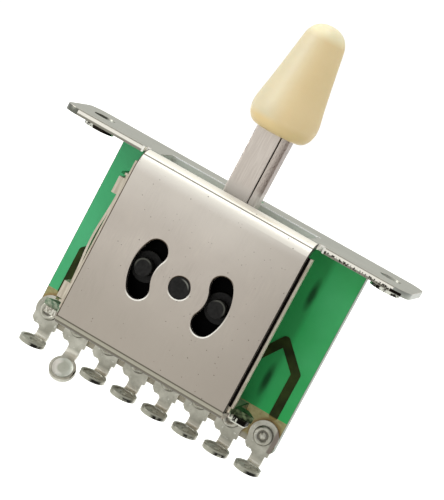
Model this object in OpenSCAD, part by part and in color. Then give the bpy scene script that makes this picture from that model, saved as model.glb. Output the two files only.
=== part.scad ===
// Lever pickup selector switch: a folded steel box frame, a swinging rotor with
// its lever and tip, and a circuit board with eight solder lugs.
// The origin is on the plate's top face, midway between the two mounting holes.
// +X runs along the plate, +Y goes back to the board, +Z up along the lever.

/* [Frame] */
// Thickness of the frame's steel sheet
sheet_t = 0.8; // [0.6:0.05:1]
// Length of the mounting plate
plate_l = 48.8; // [47:0.2:54]
// Depth of the mounting plate's ears, front to back
plate_d = 12.2; // [11.8:0.1:13]
// Radius of the ears' corners
ear_r = 2.3; // [0.5:0.1:3]
// Distance between the two mounting holes
hole_pitch = 41.3; // [40:0.1:43]
// Radius of the mounting holes
hole_r = 1.45; // [1.2:0.05:1.55]
// Outer radius of the drawn collar under each mounting hole
collar_r = 2; // [1.8:0.05:2.4]
// Height of the drawn collar below the plate
collar_h = 0.9; // [0.5:0.1:1.5]
// Width of the front panel
panel_w = 23.9; // [23:0.1:24.4]
// Outside radius of the bend between plate and panel
top_bend_r = 2.7; // [2.3:0.1:3]
// Height from the plate's top to the underside of the bottom flange
box_h = 24; // [23.6:0.1:24.6]
// Outside radius of the bottom bend
low_bend_r = 1; // [0.9:0.05:1.3]
// Full width of the bottom flange across its two ears
flange_w = 29; // [26:0.1:30]
// Depth of the ears on the flange and on the spring plate's lip
side_ear_d = 2.5; // [2:0.1:4]
// Depth of the relief notches beside the bends
notch_d = 1.1; // [0.6:0.1:1.6]
// Width of the relief notches
notch_w = 0.7; // [0.4:0.05:1]

/* [Lever slot] */
// Width of metal left at each end of the lever slot
slot_side = 1.35; // [0.95:0.05:1.75]
// Width of the lever slot
slot_d = 6.5; // [5.8:0.1:6.6]

/* [Pivot] */
// Depth of the pivot below the plate's top, as a share of the box's height
pivot_share = 0.525; // [0.52:0.001:0.53]
// Radius of the rotor's pivot pin
pivot_r = 1.37; // [1.2:0.01:1.5]
// Running clearance round the pivot pin
pivot_gap = 0.05; // [0.02:0.01:0.09]
// Distance of the two guide posts from the pivot
post_at = 5.2; // [5:0.05:5.4]
// Radius of the guide posts
post_r = 1.13; // [0.9:0.01:1.2]
// Half width of the curved slots in the front panel
kidney_r = 1.52; // [1.45:0.01:1.6]
// Radius of the collar behind each guide post
post_collar_r = 2; // [1.7:0.05:2.1]
// Swing of the lever to each side
swing = 28; // [20:1:28]

/* [Spring plate] */
// Thickness of the inner spring plate
inner_t = 0.8; // [0.6:0.05:0.9]
// Gap between the front panel and the spring plate
inner_gap = 0.4; // [0.3:0.05:0.5]
// Width of the spring plate
inner_w = 25; // [24.8:0.1:25.2]
// Height of the spring plate's top edge below the plate's top
inner_drop = 1.9; // [1.8:0.1:2.4]
// Full width of the spring plate's bottom lip
lip_w = 30; // [28:0.1:30.6]
// Length of each board tab on the lip
tab_l = 3; // [2:0.1:4]
// Distance of the board tabs from the middle
tab_at = 9; // [8.5:0.1:9.5]

/* [Detent] */
// Thickness of the leaf spring
leaf_t = 0.3; // [0.2:0.05:0.35]
// Depth of the leaf spring, front to back
leaf_d = 3.8; // [3.4:0.1:4.2]
// How far the leaf spring bows outwards at its middle
leaf_bow = 0.35; // [0.2:0.05:0.5]
// Height of each spring hook
hook_h = 2.2; // [1.8:0.1:2.4]
// Thickness of each hook's folded wall
hook_t = 0.5; // [0.4:0.05:0.6]
// Distance of each hook's middle from the leaf's, as a share of the box's height
hook_share = 0.302; // [0.295:0.001:0.308]
// Radius of the rotor's notched edge
notch_ring_r = 9.7; // [9.4:0.1:9.8]
// Clearance between the spring's nose and the notched edge
nose_gap = 0.15; // [0.1:0.01:0.25]

/* [Lever] */
// Width of the lever blade
blade_w = 4.56; // [4.2:0.02:4.7]
// Depth of the lever blade
blade_d = 2.94; // [2.6:0.02:3.1]
// Width of the folded strip beside the seam
fold_w = 1.1; // [0.9:0.05:1.3]
// Distance of the lever's middle in front of the mounting holes
blade_front = 1.65; // [1.6:0.05:1.75]

/* [Knob] */
// Height of the tip's lower face above the plate
knob_z = 8.7; // [7:0.1:10]
// Length of the tip
knob_l = 14.7; // [14:0.1:18]
// Largest radius of the tip
knob_r = 4.45; // [4.2:0.05:5]
// Radius of the tip's flat lower face
knob_foot_r = 2.7; // [2.6:0.1:3.4]
// Radius of the tip where its round top begins
knob_top_r = 2.6; // [2.2:0.1:2.9]

/* [Board] */
// Width of the circuit board
board_w = 35.5; // [35:0.1:36.4]
// Thickness of the circuit board
board_t = 1.6; // [1.2:0.1:1.6]
// Distance of the board's front face behind the mounting holes
board_y = 2.4; // [2.3:0.05:2.5]
// How far the board reaches below the frame's flange
board_tail = 2.85; // [2.6:0.05:3.4]
// Thickness of the raised copper
copper_t = 0.08; // [0.05:0.01:0.1]

/* [Lugs] */
// Distance between neighbouring solder lugs
lug_pitch = 4.53; // [4.4:0.01:4.6]
// Thickness of the lugs' sheet
lug_t = 0.5; // [0.4:0.05:0.55]
// Radius of the round pad under each rivet
lug_pad_r = 1.95; // [1.7:0.05:2.05]
// How far the lugs' shoulders reach below the board
lug_drop = 0.55; // [0.2:0.05:0.8]
// Width of the lug's shoulders
lug_w = 3.5; // [3.2:0.05:3.7]
// Distance of the rivets below the frame's flange
rivet_below = 1.15; // [1.1:0.05:1.3]
// Width of the lug's neck
neck_w = 1.7; // [1.4:0.05:1.9]
// How far the neck sits to the right of the rivet
neck_side = 0.55; // [0:0.05:0.7]
// Outer radius of the lug's eye
eye_r = 1.75; // [1.5:0.05:1.85]
// Radius of the wire hole in the eye
wire_r = 0.55; // [0.4:0.05:0.7]
// How far the eyes are bent forward, in degrees
eye_bend = 86; // [60:1:90]
// How far the straighter second eye is bent forward
eye_bend_2 = 38; // [20:1:50]

/* [Hidden] */
$fn = 64;
e = 0.01;
far = 60;
end_step = 0.02;

// Frame: where its faces lie
ear_y = -plate_d / 2;
rear_y = plate_d / 2;
panel_y = ear_y - top_bend_r - 0.1;
panel_in = panel_y + sheet_t;
bend_y = panel_y + top_bend_r;
floor_z = -box_h + sheet_t;
slot_front = bend_y + 0.1;
slot_r = 0.8;
slot_l = panel_w - 2 * slot_side;

// Spring plate: where its faces lie
inner_y = panel_in + inner_gap;
inner_back = inner_y + inner_t;
lip_bend_r = inner_t + 0.3;
fit_gap = 0.1;
lip_back = board_y - 1.1;
lip_ear_y = ear_y + 0.6;
lip_clip = (lip_w - inner_w) * 0.28;
board_back = board_y + board_t;
tab_out = 0.9;

// Pivot, posts and the parts of the rotor
pivot_z = -box_h * pivot_share;
pivot_hole_r = pivot_r + pivot_gap;
collar_y = inner_y + 0.5;
wide_kidney_r = post_collar_r + 0.25;
rotor_front = inner_back + 0.4;
rotor_back = board_y - 2;
rotor_r = box_h * 0.35;
sector_front = rotor_front + 0.5;
sector_back = sector_front + 2.6;
sector_half = 33;
step_angle = swing / 2;
dip_r = 0.75;
dip_out = 0.25;
ring_out = rotor_r + 0.2;
ring_in = ring_out - 2.6;
wiper_reach = 0.7;
hub_gap = 1.1;
hub_r = ring_in - wiper_reach - hub_gap;
hub_back = board_y - 0.5;
rear_pin_r = 1.4;

// Leaf spring: hooks hold its two ends, its nose rides on the notched edge
leaf_x = -inner_w / 2 - 0.4;
leaf_z = pivot_z - 0.25;
hook_at = box_h * hook_share;
leaf_front = inner_back + fit_gap;
hook_wall_d = 3.2;
leaf_half = hook_at + hook_h / 2 + 0.3;
bow_half = hook_at - hook_h / 2;
nose_r = 0.6;
nose_x = -(notch_ring_r + nose_gap + nose_r);
tongue_half = 3.4;
tongue_front = sector_front + 0.3;
tongue_d = 1.8;
foot_out = 0.7;

// Lever blade and the socket that holds it
blade_y = -blade_front;
blade_low = pivot_z + 2.2;
blade_top = knob_z + 5.6;
blade_gap = 0.04;
seam_w = 0.14;
seam_d = 1.3;
socket_w = blade_w + 2.7;
socket_front = blade_y - blade_d / 2 - 1.2;
socket_back = blade_y + blade_d / 2 + 1.1;
socket_top = pivot_z + 9;
cross_r = 0.7;
cross_z = pivot_z + 5.6;

// Knob
knob_wide_z = knob_z + 2.7;

// Board and lugs
board_pin_gap = 0.06;
board_low = box_h + board_tail;
top_tab_w = 3;
lugs = 8;
rivet_z = -box_h - rivet_below;
lug_y = board_y - lug_t;
shoulder_z = -board_low - lug_drop;
bend_z = shoulder_z - 1;
bend_in_r = 0.35;
bend_skin = 0.01;
eye_out = 2.3;
eye_side = -0.05;
eye_side_2 = 0.25;
rim_w = 0.35;
rim_h = 0.15;
rivet_r = 0.6;
rivet_head_r = 1.12;
rivet_gap = 0.03;
track_gap = 0.15;
track_half = 0.5;
track_turn = 35;
common_half = 27;
pad_step = 20;
pad_half = 5;
trace_w = 1.2;
trace_x = lug_pitch * (lugs - 1) / 2 - 0.12;
trace_foot = rivet_z + lug_pad_r + 0.8;
trace_leg = 5.84;
trace_lean = 3.07;
trace_bend = 3.13;
trace_inner_bend = [1.45, 2.1];
trace_end = [3, 4.4];
trace_knee = trace_foot + trace_leg;
trace_peak = trace_knee + trace_lean;
wiper_t = 0.22;
wiper_w = 1.6;
wiper_turns = [235, 305];
wiper_rivet_r = 0.5;
wiper_rivet_h = 0.3;

function lug_x(i) = (i - (lugs + 1) / 2) * lug_pitch;
function polar(r, a) = [r * cos(a), r * sin(a)];
function shift(points, dx) = [for (p = points) [p[0] + dx, p[1]]];
function reversed(points) = [for (i = [len(points) - 1:-1:0]) points[i]];

// Stands a flat outline drawn in X and Z upright between two depths
module upright(from, to) {
    translate([0, to, 0])
        rotate([90, 0, 0])
            linear_extrude(to - from)
                children();
}

// Runs a side profile drawn in Y and Z across the part
module across(x0, x1) {
    translate([x0, 0, 0])
        rotate([90, 0, 90])
            linear_extrude(x1 - x0)
                children();
}

module round_box(x0, y0, x1, y1, r) {
    translate([x0 + r, y0])
        square([x1 - x0 - 2 * r, y1 - y0]);
    translate([x0, y0 + r])
        square([x1 - x0, y1 - y0 - 2 * r]);
    for (x = [x0 + r, x1 - r], y = [y0 + r, y1 - r])
        translate([x, y])
            circle(r);
}

// Quarter of a bent sheet seen from its side, centred on the bend
module bend(r_out, t, qx, qy) {
    intersection() {
        difference() {
            circle(r_out);
            circle(r_out - t);
        }
        translate([qx < 0 ? -r_out : 0, qy < 0 ? -r_out : 0])
            square(r_out);
    }
}

// Wedge from the origin between two angles less than 180 degrees apart
module wedge(r, a0, a1) {
    am = (a0 + a1) / 2;
    polygon([[0, 0], polar(2 * r, a0), polar(3 * r, am), polar(2 * r, a1)]);
}

// Curved slot outline; its round ends are a hair narrower, so no two curves run tangent
module arc_band(r, half, a0, a1) {
    intersection() {
        difference() {
            circle(r + half);
            circle(r - half);
        }
        wedge(r, a0, a1);
    }
    for (a = [a0, a1])
        translate(polar(r, a))
            circle(half - end_step);
}

module kidneys(half) {
    translate([0, pivot_z]) {
        arc_band(post_at, half, -swing, swing);
        arc_band(post_at, half, 180 - swing, 180 + swing);
    }
}

// The two holes that take the rotor's front side, cut in the panel
module panel_holes() {
    kidneys(kidney_r);
    translate([0, pivot_z])
        circle(pivot_hole_r);
}

module frame_side() {
    translate([bend_y, -sheet_t])
        square([ear_y + e - bend_y, sheet_t]);
    translate([bend_y, -top_bend_r])
        bend(top_bend_r, sheet_t, -1, 1);
    translate([panel_y, -box_h + low_bend_r])
        square([sheet_t, box_h - low_bend_r - top_bend_r]);
    translate([panel_y + low_bend_r, -box_h + low_bend_r])
        bend(low_bend_r, sheet_t, -1, -1);
    translate([panel_y + low_bend_r, -box_h])
        square([lip_back - panel_y - low_bend_r, sheet_t]);
}

// One steel sheet: mounting plate, front panel and bottom flange
module frame() {
    color("lightgray")
        difference() {
            union() {
                translate([0, 0, -sheet_t])
                    linear_extrude(sheet_t)
                        round_box(-plate_l / 2, ear_y, plate_l / 2, rear_y, ear_r);
                across(-panel_w / 2, panel_w / 2)
                    frame_side();
                translate([0, 0, -box_h])
                    linear_extrude(sheet_t)
                        round_box(-flange_w / 2, ear_y, flange_w / 2, ear_y + side_ear_d, 0.4);
                for (x = [-1, 1])
                    translate([x * hole_pitch / 2, 0, -sheet_t - collar_h])
                        cylinder(r = collar_r, h = collar_h + e);
            }
            for (x = [-1, 1])
                translate([x * hole_pitch / 2, 0, -far / 2])
                    cylinder(r = hole_r, h = far);
            translate([0, 0, -sheet_t - e])
                linear_extrude(sheet_t + 2 * e)
                    round_box(-slot_l / 2, slot_front, slot_l / 2, slot_front + slot_d, slot_r);
            for (x = [-1, 1])
                translate([x * (panel_w + notch_w) / 2 - notch_w / 2, ear_y - e, -box_h - e])
                    cube([notch_w, notch_d, box_h + 2 * e]);
            upright(panel_y - 1, panel_in + e)
                panel_holes();
            translate([-top_tab_w / 2 - fit_gap, board_y - fit_gap, -sheet_t - e])
                cube([top_tab_w + 2 * fit_gap, board_t + 2 * fit_gap, sheet_t + 2 * e]);
        }
}

module spring_plate_side() {
    translate([inner_y, floor_z + lip_bend_r])
        square([inner_t, -inner_drop - floor_z - lip_bend_r]);
    translate([inner_y + lip_bend_r, floor_z + lip_bend_r])
        bend(lip_bend_r, inner_t, -1, -1);
    translate([inner_y + lip_bend_r, floor_z])
        square([lip_back - inner_y - lip_bend_r, inner_t]);
}

// The lip's two ears, with their back corners cut off
module lip_ears() {
    front = lip_w / 2;
    back = front - lip_clip;
    polygon([[-front, lip_ear_y], [front, lip_ear_y], [back, lip_ear_y + side_ear_d], [-back, lip_ear_y + side_ear_d]]);
}

// Inner sheet: stiffens the panel, hooks the leaf spring and grips the board
module spring_plate() {
    color("darkgray")
        difference() {
            union() {
                across(-inner_w / 2, inner_w / 2)
                    spring_plate_side();
                translate([0, 0, floor_z])
                    linear_extrude(inner_t)
                        lip_ears();
                for (x = [-1, 1])
                    translate([x * tab_at - tab_l / 2, lip_back - e, floor_z])
                        cube([tab_l, board_back + tab_out - lip_back + e, inner_t]);
                for (z = [-1, 1])
                    spring_hook(leaf_z + z * hook_at);
            }
            upright(inner_y - e, inner_back + e) {
                kidneys(wide_kidney_r);
                translate([0, pivot_z])
                    circle(pivot_r + 0.4);
            }
        }
}

// A tab of the inner sheet, folded back behind the end of the leaf spring
module spring_hook(z) {
    wall_x = leaf_x - hook_t;
    translate([wall_x, inner_y, z - hook_h / 2])
        cube([-inner_w / 2 - wall_x + e, inner_t, hook_h]);
    translate([wall_x, inner_y, z - hook_h / 2])
        cube([hook_t, inner_t + hook_wall_d, hook_h]);
}

// Outer line of the leaf: straight in the hooks, bowed between them
function leaf_line(dz) = leaf_x - (abs(dz) < bow_half ? leaf_bow * (1 + cos(180 * dz / bow_half)) / 2 : 0);

module leaf_strip() {
    outer = [for (i = [-16:16]) [leaf_line(i * leaf_half / 16), leaf_z + i * leaf_half / 16]];
    polygon(concat(outer, reversed(shift(outer, leaf_t))));
    for (s = [-1, 1])
        translate([leaf_x - foot_out, leaf_z + s * (leaf_half + leaf_t / 2) - leaf_t / 2])
            square([foot_out + leaf_t, leaf_t]);
}

// V-shaped nose pressed out of the middle of the leaf
module leaf_nose() {
    root_x = leaf_line(tongue_half);
    tip = [nose_x + nose_r - leaf_t, pivot_z];
    outer = [[root_x, pivot_z - tongue_half], [tip[0] - 0.3, tip[1] - 0.5], [tip[0], tip[1] - 0.2],
        [tip[0], tip[1] + 0.2], [tip[0] - 0.3, tip[1] + 0.5], [root_x, pivot_z + tongue_half]];
    polygon(concat(outer, reversed(shift(outer, leaf_t))));
}

module detent_spring() {
    color("gainsboro") {
        difference() {
            upright(leaf_front, leaf_front + leaf_d)
                leaf_strip();
            translate([leaf_x - 1, tongue_front - 0.1, pivot_z - tongue_half + 0.5])
                cube([2, tongue_d + 0.2, 2 * tongue_half - 1]);
        }
        upright(tongue_front, tongue_front + tongue_d)
            leaf_nose();
    }
}

module circuit_board() {
    color("mediumseagreen")
        difference() {
            union() {
                upright(board_y, board_back)
                    round_box(-board_w / 2, -board_low, board_w / 2, -sheet_t, 0.3);
                translate([-top_tab_w / 2, board_y, -sheet_t - 1])
                    cube([top_tab_w, board_t, sheet_t + 1]);
            }
            upright(board_y - e, board_back + e) {
                translate([0, pivot_z])
                    circle(rear_pin_r + board_pin_gap);
                for (i = [1:lugs])
                    translate([lug_x(i), rivet_z])
                        circle(rivet_r + rivet_gap);
                for (x = [-1, 1])
                    translate([x * tab_at - tab_l / 2 - fit_gap, floor_z - fit_gap])
                        square([tab_l + 2 * fit_gap, inner_t + 2 * fit_gap]);
            }
        }
}

// Two common arcs near the pivot and three contact pads outside each of them
module contact_tracks() {
    color("gold")
        upright(board_y - copper_t, board_y)
            translate([0, pivot_z])
                for (side = [-1, 1]) {
                    mid = 270 + side * track_turn;
                    arc_band(ring_in, track_half, mid - common_half, mid + common_half);
                    for (k = [-1:1])
                        arc_band(ring_out, track_half, mid + k * pad_step - pad_half, mid + k * pad_step + pad_half);
                }
}

// A straight stretch of copper with round ends
module trace(a, b, w) {
    d = b - a;
    translate(a)
        rotate(atan2(d[1], d[0])) {
            translate([0, -w / 2])
                square([norm(d), w]);
            circle(w / 2);
            translate([norm(d), 0])
                circle(w / 2);
        }
}

// On each side a copper run comes out from behind the panel and goes down to the end lug
module board_traces() {
    peak = [trace_x - trace_bend, trace_peak];
    route = [peak - trace_end, peak - trace_inner_bend, peak, [trace_x, trace_knee], [trace_x, trace_foot]];
    color("darkolivegreen")
        upright(board_y - copper_t, board_y)
            for (side = [0, 1])
                mirror([side, 0, 0])
                    for (i = [side * 2:len(route) - 2])
                        trace(route[i], route[i + 1], trace_w);
}

module lug_blank() {
    s = lug_w / 2;
    left = neck_side - neck_w / 2;
    right = neck_side + neck_w / 2;
    translate([0, rivet_z])
        circle(lug_pad_r);
    polygon([[-s, rivet_z - 0.3], [-s, shoulder_z + 0.5], [-s + 0.5, shoulder_z], [left - 0.3, shoulder_z],
        [left, shoulder_z - 0.3], [left, bend_z - e], [right, bend_z - e], [right, shoulder_z],
        [s, shoulder_z], [s, rivet_z - 0.3]]);
}

// The eye lies flat here, with its neck at the origin and its rim facing up in Y
module lug_eye(side) {
    n = neck_w / 2;
    difference() {
        union() {
            upright(0, lug_t) {
                translate([side, -eye_out])
                    circle(eye_r);
                polygon([[-n, e], [n, e], [n, -eye_out], [-n, -eye_out]]);
            }
            upright(-rim_h, e)
                translate([side, -eye_out])
                    difference() {
                        circle(eye_r);
                        circle(eye_r - rim_w);
                    }
        }
        upright(-1, lug_t + 1)
            translate([side, -eye_out])
                circle(wire_r);
    }
}

// Puts what is drawn for an eye behind the bend of one lug's neck
module past_bend(i, angle) {
    translate([lug_x(i) + neck_side, lug_y - bend_in_r, bend_z])
        rotate([-angle, 0, 0])
            translate([0, bend_in_r, 0])
                children();
}

// The bend is a hair thicker than the sheet, so that both straight parts end inside it
module lug_bend(i, angle) {
    half = neck_w / 2 + bend_skin;
    across(lug_x(i) + neck_side - half, lug_x(i) + neck_side + half)
        translate([lug_y - bend_in_r, bend_z])
            intersection() {
                difference() {
                    circle(bend_in_r + lug_t + bend_skin);
                    circle(bend_in_r - bend_skin);
                }
                wedge(bend_in_r + lug_t, -angle, 0);
            }
}

// One lug: flat blank on the board, a bend at its neck, then the eye
module lug(i, angle, side) {
    color("silver") {
        translate([lug_x(i), 0, 0])
            difference() {
                upright(lug_y, board_y)
                    lug_blank();
                upright(lug_y - e, board_y + e)
                    translate([0, rivet_z])
                        circle(rivet_r + rivet_gap);
            }
        lug_bend(i, angle);
        past_bend(i, angle)
            lug_eye(side);
    }
}

// Rolled rivets that clamp the lugs to the board
module lug_rivets() {
    color("silver")
        for (i = [1:lugs])
            translate([lug_x(i), 0, rivet_z])
                rotate([-90, 0, 0]) {
                    translate([0, 0, lug_y])
                        cylinder(r = rivet_r, h = board_back - lug_y);
                    translate([0, 0, lug_y - 0.35])
                        cylinder(r = rivet_head_r, h = 0.35);
                    translate([0, 0, lug_y - 0.5])
                        cylinder(r = rivet_r - 0.05, h = 0.2);
                    translate([0, 0, board_back])
                        cylinder(r = rivet_head_r - 0.1, h = 0.4);
                }
}

// Solder left in the bowl of the second lug, closing its wire hole
module solder_fill() {
    color("silver")
        past_bend(2, eye_bend_2)
            translate([eye_side_2, 0, -eye_out])
                rotate([90, 0, 0])
                    cylinder(r = eye_r - rim_w - 0.03, h = 0.12);
}

module sector_outline() {
    translate([0, pivot_z])
        difference() {
            intersection() {
                circle(notch_ring_r);
                wedge(notch_ring_r, 180 - sector_half, 180 + sector_half);
            }
            for (k = [-2:2])
                translate(polar(notch_ring_r + dip_out, 180 + k * step_angle))
                    circle(dip_r);
        }
}

// Moulded rotor: pivot pins, guide posts, lever socket and notched sector
module rotor() {
    color("dimgray")
        difference() {
            union() {
                upright(rotor_front, rotor_back)
                    translate([0, pivot_z])
                        circle(rotor_r);
                upright(sector_front, sector_back)
                    sector_outline();
                translate([-socket_w / 2, socket_front, pivot_z])
                    cube([socket_w, socket_back - socket_front, socket_top - pivot_z]);
                translate([0, 0, pivot_z])
                    rotate([-90, 0, 0]) {
                        translate([0, 0, panel_y])
                            cylinder(r = pivot_r, h = rotor_front - panel_y + e);
                        translate([0, 0, rotor_back - e])
                            cylinder(r = hub_r, h = hub_back - rotor_back + e);
                        translate([0, 0, hub_back - e])
                            cylinder(r = rear_pin_r, h = board_back + 0.3 - hub_back);
                        for (x = [-1, 1])
                            translate([x * post_at, 0, panel_y + 0.05]) {
                                cylinder(r = post_r, h = rotor_front - panel_y);
                                translate([0, 0, collar_y - panel_y - 0.05])
                                    cylinder(r = post_collar_r, h = rotor_front - collar_y + e);
                            }
                    }
            }
            translate([-blade_w / 2 - blade_gap, blade_y - blade_d / 2 - blade_gap, blade_low - blade_gap])
                cube([blade_w + 2 * blade_gap, blade_d + 2 * blade_gap, far]);
            translate([0, socket_front - e, cross_z])
                rotate([-90, 0, 0])
                    cylinder(r = cross_r + 0.02, h = socket_back - socket_front + 2 * e);
        }
}

// Section of the folded lever: a wide leg, the seam, and the narrow rounded fold
module blade_section() {
    x0 = -blade_w / 2;
    x1 = blade_w / 2;
    y0 = blade_y - blade_d / 2;
    y1 = blade_y + blade_d / 2;
    seam_x = x1 - fold_w;
    difference() {
        union() {
            round_box(x0, y0, seam_x, y1, 0.25);
            round_box(seam_x - 1, y0 + 0.1, x1, y1, 0.5);
        }
        translate([seam_x - seam_w / 2, y0 - e])
            square([seam_w, seam_d]);
    }
}

module lever_blade() {
    color("lightgray")
        difference() {
            translate([0, 0, blade_low])
                linear_extrude(blade_top - blade_low)
                    blade_section();
            translate([0, blade_y - blade_d, cross_z])
                rotate([-90, 0, 0])
                    cylinder(r = cross_r + 0.02, h = 2 * blade_d);
        }
}

// Steel cross pin that keeps the lever in the rotor
module lever_pin() {
    color("silver")
        translate([0, socket_front, cross_z])
            rotate([-90, 0, 0])
                cylinder(r = cross_r, h = socket_back - socket_front);
}

// Outline of the tip: flat foot, round belly, straight cone, round top
module knob_outline() {
    top_z = knob_z + knob_l - knob_top_r * 0.85;
    belly = [for (a = [0:10:90])
        [knob_foot_r + (knob_r - knob_foot_r) * sin(a), knob_wide_z - (knob_wide_z - knob_z) * cos(a)]];
    dome = [for (a = [0:10:90]) [knob_top_r * cos(a), top_z + (knob_z + knob_l - top_z) * sin(a)]];
    polygon(concat([[0, knob_z]], belly, dome));
}

module knob() {
    color("wheat")
        difference() {
            translate([0, blade_y, 0])
                rotate_extrude()
                    knob_outline();
            translate([-blade_w / 2 - blade_gap, blade_y - blade_d / 2 - blade_gap, knob_z - 1])
                cube([blade_w + 2 * blade_gap, blade_d + 2 * blade_gap, blade_top + blade_gap - knob_z + 1]);
        }
}

// Side line of a bronze wiper: two sprung fingers beside a flat foot
module wiper_side() {
    tip_y = board_y - copper_t - track_gap;
    base_y = rotor_back;
    front = [[ring_in - wiper_reach, tip_y - 0.5], [ring_in, tip_y - wiper_t], [ring_in + 0.75, base_y],
        [ring_out - 0.75, base_y], [ring_out, tip_y - wiper_t], [ring_out + 0.5, tip_y - 0.5]];
    back = [for (p = front) [p[0], p[1] + wiper_t]];
    polygon(concat(front, reversed(back)));
}

module wiper(angle) {
    color("peru")
        translate([0, 0, pivot_z])
            rotate([0, -angle, 0])
                translate([0, 0, -wiper_w / 2])
                    linear_extrude(wiper_w)
                        wiper_side();
}

module wiper_left() {
    wiper(wiper_turns[0]);
}

module wiper_right() {
    wiper(wiper_turns[1]);
}

// Rivets that hold the two wipers to the rotor
module wiper_rivets() {
    color("tan")
        for (a = wiper_turns)
            translate([0, rotor_back + wiper_t, pivot_z])
                rotate([0, -a, 0])
                    translate([(ring_in + ring_out) / 2, 0, 0])
                        rotate([-90, 0, 0])
                            cylinder(r = wiper_rivet_r, h = wiper_rivet_h);
}

frame();
spring_plate();
detent_spring();
circuit_board();
contact_tracks();
board_traces();
lug(1, eye_bend, eye_side);  // solder_lug_1
lug(2, eye_bend_2, eye_side_2);  // solder_lug_2
lug(3, eye_bend, eye_side);  // solder_lug_3
lug(4, eye_bend, eye_side);  // solder_lug_4
lug(5, eye_bend, eye_side);  // solder_lug_5
lug(6, eye_bend, eye_side);  // solder_lug_6
lug(7, eye_bend, eye_side);  // solder_lug_7
lug(8, eye_bend, eye_side);  // solder_lug_8
lug_rivets();
solder_fill();
rotor();
lever_blade();
lever_pin();
knob();
wiper_left();
wiper_right();
wiper_rivets();
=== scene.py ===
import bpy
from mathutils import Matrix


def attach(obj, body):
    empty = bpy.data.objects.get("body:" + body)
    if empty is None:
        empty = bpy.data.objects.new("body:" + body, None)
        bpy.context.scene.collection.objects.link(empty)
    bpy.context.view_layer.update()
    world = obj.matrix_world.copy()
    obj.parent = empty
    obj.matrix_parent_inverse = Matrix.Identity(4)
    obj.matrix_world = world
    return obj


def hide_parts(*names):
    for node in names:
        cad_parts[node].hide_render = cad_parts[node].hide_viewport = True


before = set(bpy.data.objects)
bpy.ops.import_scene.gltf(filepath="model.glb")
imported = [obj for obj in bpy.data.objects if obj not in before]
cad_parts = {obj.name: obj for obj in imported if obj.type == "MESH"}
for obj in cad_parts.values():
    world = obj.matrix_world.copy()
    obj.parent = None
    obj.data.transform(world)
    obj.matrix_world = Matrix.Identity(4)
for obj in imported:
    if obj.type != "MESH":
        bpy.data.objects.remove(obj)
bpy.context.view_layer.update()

import math

import bmesh
import bpy
from mathutils import Quaternion, Vector

mm = 0.001


# ---- Mounting frame
# The frame is one sheet of 0.8 mm steel, blanked, pierced and folded in a press,
# then plated with nickel. It carries every other part and is held by two screws
# through the drawn collars in its ears.

def linear(code):
    """An sRGB hex colour as the linear RGBA that the shader sockets take."""
    parts = [int(code[i:i + 2], 16) / 255 for i in (1, 3, 5)]
    return [c / 12.92 if c <= 0.04045 else ((c + 0.055) / 1.055) ** 2.4 for c in parts] + [1]


def add(tree, kind, sockets=None, **settings):
    """Adds one node. A socket takes a plain value or another node's output."""
    made = tree.nodes.new(kind)
    for name, value in settings.items():
        setattr(made, name, value)
    for name, value in (sockets or {}).items():
        if isinstance(value, bpy.types.NodeSocket):
            tree.links.new(value, made.inputs[name])
        else:
            made.inputs[name].default_value = value
    return made


def new_finish(name):
    """An empty material and its node tree."""
    material = bpy.data.materials.new(name)
    material.use_nodes = True
    material.node_tree.nodes.clear()
    return material, material.node_tree


def place_axes(tree):
    """The place on the piece in metres, and its x, y, z and distance to the side."""
    place = add(tree, "ShaderNodeTexCoord").outputs["Object"]
    axes = add(tree, "ShaderNodeSeparateXYZ", {0: place})
    aside = add(tree, "ShaderNodeMath", {0: axes.outputs[0]}, operation="ABSOLUTE")
    return place, axes.outputs[0], axes.outputs[1], axes.outputs[2], aside.outputs[0]


def within(tree, value, low, high, soft=0.04):
    """A mask: 1 from low to high, fading out over the soft distance. All in mm."""
    rise = add(tree, "ShaderNodeMapRange", {0: value, 1: (low - soft) * mm, 2: low * mm})
    fall = add(tree, "ShaderNodeMapRange", {0: value, 1: high * mm, 2: (high + soft) * mm, 3: 1, 4: 0})
    return product(tree, rise.outputs[0], fall.outputs[0])


def product(tree, *masks):
    """The masks multiplied together."""
    result = masks[0]
    for mask in masks[1:]:
        result = add(tree, "ShaderNodeMath", {0: result, 1: mask}, operation="MULTIPLY").outputs[0]
    return result


def noise(tree, place, size, stretch=(1, 1, 1), low=0.35, high=0.65, detail=3):
    """Noise from 0 to 1 with features of the given size in mm, drawn out by stretch."""
    scaled = add(tree, "ShaderNodeVectorMath", {
        0: place, 1: [1 / (size * mm * s) for s in stretch]}, operation="MULTIPLY")
    cloud = add(tree, "ShaderNodeTexNoise", {"Vector": scaled.outputs[0], "Scale": 1, "Detail": detail})
    return add(tree, "ShaderNodeMapRange", {0: cloud.outputs[0], 1: low, 2: high}).outputs[0]


def over(tree, mask, under, colour):
    """Lays a colour over another one through a mask."""
    return add(tree, "ShaderNodeMix", {0: mask, 6: under, 7: colour}, data_type="RGBA").outputs[2]


def specks(tree, place, spacing, radius, share):
    """Round specks up to the given radius in a share of cells of the given spacing, in mm."""
    cells = add(tree, "ShaderNodeTexVoronoi", {"Vector": place, "Scale": 1 / (spacing * mm)})
    pick = add(tree, "ShaderNodeSeparateColor", {0: cells.outputs["Color"]})
    reach = add(tree, "ShaderNodeMapRange", {
        0: pick.outputs[0], 1: 1 - share, 2: 1, 3: 0, 4: radius / spacing})
    depth = add(tree, "ShaderNodeMath", {
        0: reach.outputs[0], 1: cells.outputs["Distance"]}, operation="SUBTRACT")
    return add(tree, "ShaderNodeMapRange", {0: depth.outputs[0], 1: 0, 2: 0.03}).outputs[0]


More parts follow.
